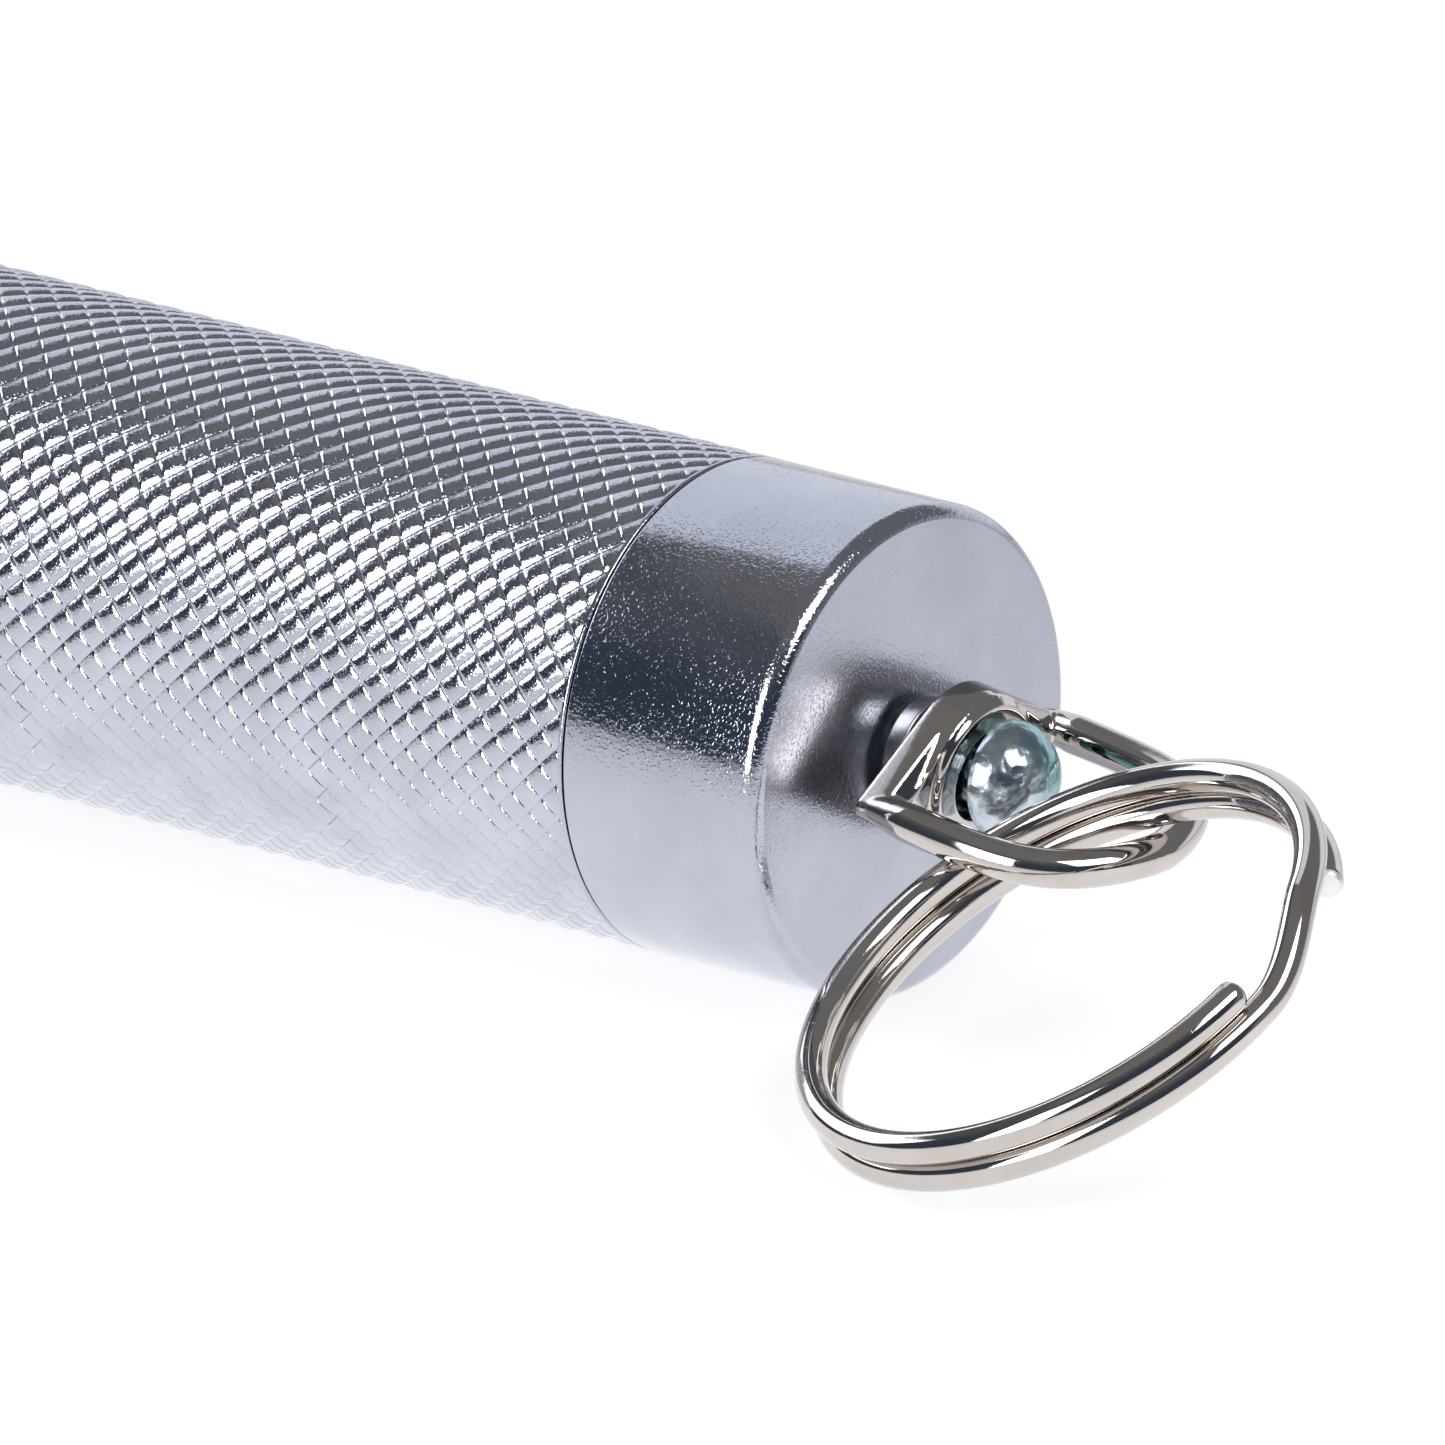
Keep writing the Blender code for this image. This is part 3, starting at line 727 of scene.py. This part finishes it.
def make_rivet(zinc_plate, washer_steel):
    """The round-headed rivet, its washer inside the cap and the bush that the loop turns on."""
    front, rear = node_span("swivel_rivet")
    head_r, head_x, shank_r = 1.77, 3.42, 1.05
    height = rear - head_x
    steps = 24
    dome = []
    for k in range(steps + 1):
        turn = math.radians(90) * k / steps
        dome.append((head_x + height * math.cos(turn), head_r * math.sin(turn) ** 0.96))
    corners = dome + [(head_x - 0.02, head_r - 0.05), (head_x - 0.02, shank_r), (front + 0.5, shank_r)]
    corners += [(front + 0.5, 1.8, 0.1), (front, 1.5, 0.2), (front, 0.0)]
    verts, faces = revolve(filleted(corners), 128)
    verts = np.array(verts)
    hammered = verts[:, 0] > head_x + 0.1
    x, y, z = verts[hammered].T
    dents = np.sin(3.1 * y + 1.3) * np.cos(2.7 * z - 0.4) + 0.5 * np.sin(5.3 * z + 2.2 * y)
    share = np.clip((x - head_x) / height, 0, 1)
    verts[hammered, 0] -= 0.025 * (1 + dents * 0.6) * share
    rivet = add_piece("rivet", verts, faces, zinc_plate, "tail_cap")
    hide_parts("swivel_rivet")

    bore_r = 1.4
    washers = (
        ("rivet_backing_washer", "rivet_washer", 3.2, "tail_cap"),
        ("swivel_bush", "swivel_spacer", 1.9, "swivel_spacer"),
    )
    for name, node, outer_r, body in washers:
        front, rear = node_span(node)
        corners = [(rear, bore_r, 0.05), (rear, outer_r, 0.08)]
        corners += [(front, outer_r, 0.08), (front, bore_r, 0.05)]
        turned(name, corners, washer_steel, body, [node], 96)


def even_steps(points, count, closed=False):
    """Points at equal steps along a line of points."""
    points = np.asarray(points, float)
    if closed:
        points = np.vstack([points, points[:1]])
    length = np.concatenate([[0], np.cumsum(np.linalg.norm(np.diff(points, axis=0), axis=1))])
    wanted = np.linspace(0, length[-1], count, endpoint=not closed)
    return np.stack([np.interp(wanted, length, points[:, n]) for n in range(3)], -1)


def base_outline(block_r, corner, corner_r):
    """(y, z) points round a circle and two small circles at the corners, in one convex outline."""
    tangent = math.acos((block_r - corner_r) / corner)
    tip = [(corner + corner_r * math.cos(t), corner_r * math.sin(t)) for t in np.linspace(0, tangent, 8)]
    crown = [(block_r * math.cos(t), block_r * math.sin(t)) for t in np.linspace(tangent, math.pi / 2, 20)]
    quarter = tip + crown
    upper = quarter + [(-y, z) for y, z in quarter[-2::-1]]
    return upper + [(y, -z) for y, z in upper[-2:0:-1]]


def eyed_block(stations, hole_r):
    """Points and faces of a block through (x, outline) stations, with a round eye along X."""
    eye = [(hole_r * y / math.hypot(y, z), hole_r * z / math.hypot(y, z)) for y, z in stations[0][1]]
    count = len(eye)
    rings = [*stations, (stations[-1][0], eye), (stations[0][0], eye)]
    verts = [(x, y, z) for x, points in rings for y, z in points]
    faces = []
    for ring in range(len(rings)):
        one, two = ring * count, (ring + 1) % len(rings) * count
        for k in range(count):
            m = (k + 1) % count
            faces.append((one + k, one + m, two + m, two + k))
    return verts, faces


def prism(outline, low, high):
    """Points and faces of an outline of (y, z) points, extruded along X."""
    count = len(outline)
    verts = [(low, y, z) for y, z in outline] + [(high, y, z) for y, z in outline]
    faces = [tuple(range(count))[::-1], tuple(range(count, 2 * count))]
    faces += [(k, (k + 1) % count, count + (k + 1) % count, count + k) for k in range(count)]
    return verts, faces


def melted(forms, voxel, soften):
    """Points and faces of overlapping closed forms melted into one skin with small fillets."""
    verts, faces = [], []
    for points, sides in forms:
        faces += [tuple(len(verts) + n for n in side) for side in sides]
        verts += [tuple(float(c) for c in point) for point in points]
    mesh = bpy.data.meshes.new("form")
    mesh.from_pydata(verts, [], faces)
    form = bpy.data.objects.new("form", mesh)
    bpy.context.scene.collection.objects.link(form)
    remesh = form.modifiers.new("melt", "REMESH")
    remesh.mode = "VOXEL"
    remesh.voxel_size = voxel
    smooth = form.modifiers.new("soften", "SMOOTH")
    smooth.factor = 0.5
    smooth.iterations = soften
    bpy.context.view_layer.update()
    shaped = bpy.data.meshes.new_from_object(form.evaluated_get(bpy.context.evaluated_depsgraph_get()))
    verts = [tuple(v.co) for v in shaped.vertices]
    faces = [tuple(p.vertices) for p in shaped.polygons]
    bpy.data.objects.remove(form)
    bpy.data.meshes.remove(mesh)
    bpy.data.meshes.remove(shaped)
    return verts, faces


def make_loop(nickel_plate):
    """The cast swivel loop: bar, pointed base and hub, melted together."""
    place, length = loop_frame()
    rough = []
    for n in range(1441):
        turn = math.radians(n / 8 - 90)
        out = length * abs(math.cos(turn)) ** (2 / LOOP_ARM_POWER)
        across = LOOP_HALF_WIDTH * abs(math.sin(turn)) ** (2 / LOOP_NOSE_POWER)
        rough.append((out, math.copysign(across, turn), 0))
    heel = 0.6
    rough = [(-heel, -LOOP_HALF_WIDTH, 0), *rough, (-heel, LOOP_HALF_WIDTH, 0)]
    path = even_steps(rough, 280)
    ups = np.tile((0.0, 0.0, 1.0), (len(path), 1))
    ease = np.clip((path[:, 0] + heel) / (2.4 * heel), 0, 1)
    bar = swept(path, ups, LOOP_BAR_R * (0.45 + 0.55 * np.sqrt(ease)), 28, False)

    back, hub_front = -0.83, 0.64
    rear = (back, base_outline(2.5, 4.12, 0.33))
    waist = (0.0, base_outline(2.48, 4.08, 0.34))
    front = (0.42, base_outline(2.42, 2.9, 0.5))
    block = eyed_block([rear, waist, front], HUB_HOLE_R)
    hub = [(back, 2.45), (back, HUB_HOLE_R), (hub_front, HUB_HOLE_R), (hub_front, 2.2), (0.3, 2.45)]
    verts, faces = melted([bar, block, revolve(hub, 96)], voxel=0.06, soften=6)
    made = add_piece("loop", verts, faces, nickel_plate, "swivel_loop", place, crease=80.0)
    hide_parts("swivel_loop")


def make_ring(nickel_plate, bare_steel):
    """Two turns of spring wire; one turn steps over to the other where they cross."""
    count = 720
    sides = 36
    path = []
    for n in range(count + 1):
        swept_angle = RING_SWEEP * n / count
        part = min(1.0, max(0.0, (swept_angle - RING_JOGGLE[0]) / (RING_JOGGLE[1] - RING_JOGGLE[0])))
        eased = part * part * (3 - 2 * part)
        turn = RING_START - swept_angle
        path.append((RING_R * math.cos(turn), RING_R * math.sin(turn), RING_PITCH * (0.5 - eased)))
    path = np.array(path)
    ups = np.tile((0.0, 0.0, 1.0), (len(path), 1))
    step = np.linalg.norm(path[1] - path[0])
    reach = np.arange(count + 1) * step
    radii = np.full(count + 1, RING_WIRE_R)
    for away, rounding, least in ((reach, 0.35, 0.6), (reach[::-1], 0.1, 0.8)):
        inside = np.clip(away / rounding, 0, 1)
        radii = radii * (least + (1 - least) * np.sqrt(1 - (1 - inside) ** 2))
    verts, faces = swept(path, ups, radii, sides, False)
    made = add_piece("key_ring", verts, faces, nickel_plate, "split_ring", ring_frame())
    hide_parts("split_ring")
    made.data.materials.append(bare_steel)
    cut_end = [-1, *range(-3, -3 - sides, -1)]  # its disc, and the last band of the wire's side
    for n in cut_end:
        made.data.polygons[n].material_index = 1


# ---------------------------------------------------------------- head and optics


def grip_groove(rear, width, depth, flank, edge, root):
    """Corners of a groove round the body whose rear edge is at a station."""
    front = rear - width
    floor_r = BODY_R - depth
    corners = [(rear, BODY_R, edge), (rear - flank, floor_r, root)]
    return corners + [(front + flank, floor_r, root), (front, BODY_R, edge)]


def make_head(chrome_plate, coating, glass, seal):
    """The head with its grip grooves, the bezel, the reflector and the window."""
    front, rear = node_span("head_shell")
    bezel_front, bezel_rear = node_span("bezel")
    step = bezel_rear + JOINT_GAP
    skirt_r, boss_r, bore_r, shoulder_r = 6.65, 6.6, 6.05, 5.65
    shoulder_front, shoulder_rear = -59.2, -57.3
    corners = [(rear, skirt_r, 0.06), (rear, BODY_R, 0.12)]
    for groove in HEAD_GROOVES:
        corners += grip_groove(groove, width=1.0, depth=0.3, flank=0.15, edge=0.05, root=0.12)
    corners += [(step, BODY_R, 0.1), (step, boss_r), (front, boss_r, 0.1), (front, bore_r)]
    corners += [(shoulder_front, bore_r), (shoulder_front, shoulder_r)]
    corners += [(shoulder_rear, shoulder_r), (shoulder_rear, skirt_r)]
    turned("head_body", corners, chrome_plate, "head", ["head_shell"], sides=256)

    lip_r, window_r, lip_rear = 6.9, 5.6, -70.1
    corners = [(bezel_rear, lip_r, 0.05), (bezel_rear, BODY_R, 0.1)]
    for groove in BEZEL_GROOVES:
        corners += grip_groove(groove, width=0.6, depth=0.18, flank=0.12, edge=0.04, root=0.08)
    corners += [(bezel_front + 0.8, BODY_R, 0.35), (bezel_front, BODY_R - 0.6, 0.1)]
    corners += [(bezel_front, 6.1, 0.08), (bezel_front + 1.0, window_r, 0.06)]
    corners += [(lip_rear, window_r), (lip_rear, lip_r)]
    turned("bezel_ring", corners, chrome_plate, "head", ["bezel"], sides=256)

    mouth, _ = node_span("reflector")
    deep, mouth_r, depth = -63.2, 5.5, 5.6
    focus = mouth_r**2 / (4 * depth)
    steps = 28
    bowl = []
    for k in range(steps + 1):
        x = deep + (mouth - deep) * k / steps
        bowl.append((x, 2 * math.sqrt(focus * (mouth + depth - x))))
    corners = bowl + [(mouth, 6.35), (mouth + 0.8, 6.35), (mouth + 0.8, 5.8), (deep - 1.0, 4.6)]
    corners.append((deep, bowl[0][1] + 0.8))
    turned("reflector_cup", corners, coating, "head", ["reflector"])
    turned_disc("window", "lens", 6.4, (0.08, 0.15), glass, "head")
    make_seal("window_seal", "lens_oring", seal, "head")


def rounded_square(half, corner_r):
    """(y, z) points round a square with rounded corners."""
    side = half - corner_r
    arc = []
    for t in np.linspace(0, math.pi / 2, 6):
        arc.append((side + corner_r * math.cos(t), side + corner_r * math.sin(t)))
    outline = []
    for _ in range(4):
        outline += arc
        arc = [(-z, y) for y, z in arc]
    return outline


def make_lamp(ceramic, die, dome, board, joints):
    """The emitter on its star board, seen through the window."""
    _, rear = node_span("led_emitter")
    half, corner_r = 1.725, 0.15
    package_thick, die_thick, die_half = 0.7, 0.08, 0.7
    dome_r, dome_rear = 1.3, 0.8
    square = rounded_square(half, corner_r)
    verts, faces = prism(square, rear - package_thick, rear)
    base = add_piece("led_package", verts, faces, ceramic, "led_module")
    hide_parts("led_emitter")
    die_outline = [(die_half * y, die_half * z) for y, z in ((-1, -1), (1, -1), (1, 1), (-1, 1))]
    verts, faces = prism(die_outline, rear - package_thick - die_thick, rear - package_thick)
    add_piece("led_die", verts, faces, die, "led_module")
    corners = []
    for t in np.linspace(0, math.pi / 2, 16):
        corners.append((rear - dome_rear - 0.02 - dome_r * 0.9 * math.cos(t), dome_r * math.sin(t)))
    corners += [(rear - dome_rear, dome_r), (rear - dome_rear, 0.0)]
    turned("led_dome", corners, dome, "led_module", sides=64)
    edges = (0.08, 0.08)
    turned_disc("led_star_board", "led_board", 4.7, edges, board, "led_module", 96)
    front, _ = node_span("led_board")
    blob_high, blob_r, blob_away = 0.32, 0.55, 2.9
    for k, sign in enumerate((1, -1)):
        curve = np.linspace(0, math.pi / 2, 10)
        blob = [(front - blob_high * math.cos(t), blob_r * math.sin(t)) for t in curve]
        blob += [(front + 0.02, blob_r), (front + 0.02, 0.0)]
        spot = AXIS_FRAME @ Matrix.Translation(Vector((0, blob_away * sign * MM, 0)))
        turned(f"solder_joint_{k + 1}", blob, joints, "led_module", sides=32, place=spot)


def make_insides(metals):
    """Finer shapes for the cell, the pill, the contact post, the driver board and the spring."""
    can, pole = metals["can"], metals["brass"]
    turned_disc("cell_body", "cell_can", 4.7, (0.3, 0.5), can, "cell")
    front, rear = node_span("cell_jacket")
    corners = [(rear, 4.95, 0.05), (rear, 5.12, 0.1), (rear - 0.8, 5.15)]
    corners += [(front + 0.8, 5.15), (front, 5.12, 0.1), (front, 4.95, 0.05)]
    turned("cell_wrap", corners, metals["film"], "cell", ["cell_jacket"])
    front, rear = node_span("cell_seal")
    corners = [(rear, 2.3, 0.05), (rear, 4.6, 0.05), (front, 4.6, 0.1), (front, 2.3, 0.1)]
    turned("cell_gasket", corners, metals["plastic"], "cell", ["cell_seal"])
    turned_disc("cell_button", "cell_positive_cap", 1.9, (0.05, 0.35), can, "cell", 96)
    turned_disc("positive_contact", "contact_post", 1.6, (0.4, 0.05), pole, "led_module", 96)
    front, rear = node_span("led_pill")
    flange_r, flange_front = 6.1, -57.0
    cup_r, floor_rear = 5.05, -59.2
    corners = [(rear, cup_r, 0.08), (rear, flange_r, 0.1), (flange_front, flange_r, 0.1)]
    corners += [(flange_front, 5.3), (front, 5.3, 0.15), (front, 1.2, 0.1)]
    corners += [(floor_rear, 1.2, 0.05), (floor_rear, cup_r)]
    turned("pill", corners, pole, "led_module", ["led_pill"])
    board, edges = metals["green"], (0.08, 0.08)
    turned_disc("driver_disc", "driver_board", 4.7, edges, board, "led_module", 96)

    wire_r, turns = 0.3, 4.5
    wide_r, narrowing = 4.6, 2.0
    low, high = node_span("tail_spring")
    start, end = high - wire_r, low + wire_r
    count = 400
    path = []
    for n in range(count + 1):
        turn = math.tau * turns * n / count
        r = wide_r - narrowing * n / count
        path.append((start + (end - start) * n / count, r * math.cos(turn), r * math.sin(turn)))
    ups = np.tile((1.0, 0.0, 0.0), (len(path), 1))
    verts, faces = swept(path, ups, np.full(len(path), wire_r), 16, False)
    spring = add_piece("contact_spring", verts, faces, metals["spring"], "tail_spring")
    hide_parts("tail_spring")


# ---------------------------------------------------------------- studio

ROOM_LOW = (0.05, 0.066, 0.094)  # the dark side behind the camera, from the table upwards
ROOM_HIGH = (0.115, 0.12, 0.135)
ROOM_CEILING = (0.22, 0.22, 0.215)
BACKDROP_SHADE = (0.2, 0.2, 0.21)
BACKDROP_LIT = (0.96, 0.98, 1.05)
PAPER_WHITE = (0.93, 0.93, 0.94)  # what stands behind the torch in the picture
TABLE_GLOW = 0.95  # of the light table beneath the torch
TABLE_FALLOFF = 0.09  # metres to each side over which it halves
TABLE_SHOWN = 0.78  # its even glow in the picture

# (azimuth, elevation, half width, half height) and colour of each softbox
SOFTBOXES = (
    ((-97.5, 18, 0.24, 0.36), (7.0, 7.0, 7.0)),
    ((-9, 47, 0.26, 0.24), (6.5, 6.5, 6.5)),
    ((180, 22, 0.4, 0.18), (3.5, 3.5, 3.6)),
)


def make_world():
    """A studio as one sky: a light backdrop and ceiling, a dark side behind the camera, and softboxes."""
    world = bpy.data.worlds.new("studio")
    bpy.context.scene.world = world
    world.use_nodes = True
    world.node_tree.nodes.clear()
    s = Nodes(world.node_tree)
    direction = s.node("TexCoord").outputs["Generated"]

    def along(axis):
        return s.node("VectorMath", {0: direction, 1: axis}, operation="DOT_PRODUCT").outputs["Value"]

    def step(value, edge, blur):
        """0 below the edge and 1 above it, over a soft band."""
        band = {"Value": value, "From Min": edge - blur, "From Max": edge + blur}
        return s.node("MapRange", band, interpolation_type="SMOOTHSTEP").outputs["Result"]

    def softbox(azimuth, elevation, half_width, half_height, blur=0.04):
        """1 inside a rectangle of sky centred on a direction; sizes are tangents of half angles."""
        a, e = math.radians(azimuth), math.radians(elevation)
        middle = (math.cos(e) * math.cos(a), math.cos(e) * math.sin(a), math.sin(e))
        side = (-math.sin(a), math.cos(a), 0)
        up = tuple(Vector(middle).cross(Vector(side)))
        ahead = along(middle)
        facing = s.maths("MAXIMUM", ahead, 0.001)
        inside = s.maths("GREATER_THAN", ahead, 0.0)
        for axis, half in ((side, half_width), (up, half_height)):
            offset = s.maths("ABSOLUTE", s.maths("DIVIDE", along(axis), facing))
            inside = s.maths("MULTIPLY", inside, s.maths("SUBTRACT", 1.0, step(offset, half, blur)))
        return inside

    height = along((0, 0, 1))
    dark = s.mix(step(height, 0.52, 0.14), ROOM_LOW, ROOM_HIGH)
    dark = s.mix(step(height, 0.755, 0.04), dark, ROOM_CEILING)
    behind = step(along((0, 1, 0)), 0.13, 0.03)
    sideways = along((1, 0, 0))
    past_panel = s.maths("SUBTRACT", 1.0, step(sideways, -0.45, 0.03))
    panel = s.maths("MULTIPLY", step(sideways, -0.74, 0.03), past_panel)
    lowered = s.maths("MULTIPLY", s.maths("MAXIMUM", sideways, 0.0), 0.6)
    low = s.maths("SUBTRACT", 1.0, step(s.maths("ADD", height, lowered), 0.42, 0.06))
    backdrop = s.mix(s.maths("MAXIMUM", panel, low), BACKDROP_SHADE, BACKDROP_LIT)
    sky = s.mix(behind, dark, backdrop)
    for box, colour in SOFTBOXES:
        sky = s.mix(softbox(*box), sky, colour)
    seen = s.node("LightPath").outputs["Is Camera Ray"]
    lit = s.node("Background", {"Color": sky}).outputs[0]
    plain = s.node("Background", {"Color": (*PAPER_WHITE, 1)}).outputs[0]
    chosen = s.node("MixShader", {0: seen, 1: lit, 2: plain}).outputs[0]
    s.node("OutputWorld", {"Surface": chosen})


def make_floor():
    """A plain pale sheet, large enough to fill any view."""
    half = 20.0
    mesh = bpy.data.meshes.new("floor")
    sheet = [(-half, -half, 0), (half, -half, 0), (half, half, 0), (-half, half, 0)]
    mesh.from_pydata(sheet, [], [(0, 1, 2, 3)])
    paper = Shader("light_table", (0.30, 0.30, 0.31), 0.9)
    paper.main.inputs["Emission Color"].default_value = (1.0, 1.0, 1.0, 1)
    y = paper.node("SeparateXYZ", {"Vector": paper.place}).outputs["Y"]
    spread = paper.maths("MULTIPLY_ADD", paper.maths("ABSOLUTE", y), 1 / TABLE_FALLOFF, 1.0)
    glow = paper.maths("DIVIDE", TABLE_GLOW, spread)
    seen = paper.node("LightPath").outputs["Is Camera Ray"]
    chosen = {"Value": seen, "To Min": glow, "To Max": TABLE_SHOWN}
    strength = paper.node("MapRange", chosen).outputs[0]
    paper.tree.links.new(strength, paper.main.inputs["Emission Strength"])
    paper.bump(paper.noise(0.4, 3.0), 0.004)
    mesh.materials.append(paper.material)
    floor = bpy.data.objects.new("floor", mesh)
    bpy.context.scene.collection.objects.link(floor)


def make_camera():
    a, e = VIEW_AZIMUTH, VIEW_ELEVATION
    back = Vector((math.sin(a) * math.cos(e), -math.cos(a) * math.cos(e), math.sin(e)))
    right = Vector((math.cos(a), math.sin(a), 0))
    up = back.cross(right)
    aim = TAIL + (right * VIEW_SHIFT[0] + up * VIEW_SHIFT[1]) * MM
    data = bpy.data.cameras.new("camera")
    data.lens = VIEW_LENS
    data.sensor_width = 36.0
    data.clip_start = 0.05
    data.clip_end = 100.0
    camera = bpy.data.objects.new("camera", data)
    bpy.context.scene.collection.objects.link(camera)
    turn = Matrix((right, up, back)).transposed().to_4x4()
    camera.matrix_world = Matrix.Translation(aim + back * VIEW_DISTANCE * MM) @ turn
    bpy.context.scene.camera = camera


def main():
    make_camera()
    make_world()
    make_floor()
    bpy.context.scene.view_settings.view_transform = "Standard"

    chrome_plate = chrome()
    seal = rubber()
    nickel_plate = nickel()
    plain_steel = steel("plain_steel")
    metals = {
        "can": steel("cell_nickel", (0.60, 0.59, 0.57), 0.25),
        "film": jacket_film(),
        "plastic": plastic("gasket_plastic", (0.75, 0.75, 0.72), 0.5),
        "brass": brass(),
        "green": laminate("driver_laminate", (0.02, 0.12, 0.05)),
        "spring": steel("spring_wire", (0.58, 0.58, 0.59), 0.18),
    }
    make_barrel(chrome_plate, chrome_knurl(), seal)
    make_cap(chrome_plate)
    make_rivet(zinc(), plain_steel)
    make_loop(nickel_plate)
    make_ring(nickel_plate, steel("bare_steel", (0.9, 0.9, 0.9), 0.45))
    glass = window_glass()
    make_head(chrome_plate, mirror(), glass, seal)
    white = plastic("led_ceramic_white", (0.82, 0.82, 0.80), 0.4, 0.1)
    make_lamp(white, phosphor(), glass, laminate("star_laminate", (0.55, 0.55, 0.53)), solder())
    make_insides(metals)
    core = frame["nodes"]["driver_inductor"]
    core.data.materials.clear()
    core.data.materials.append(plastic("ferrite", (0.06, 0.06, 0.065), 0.6, 0.1))


main()
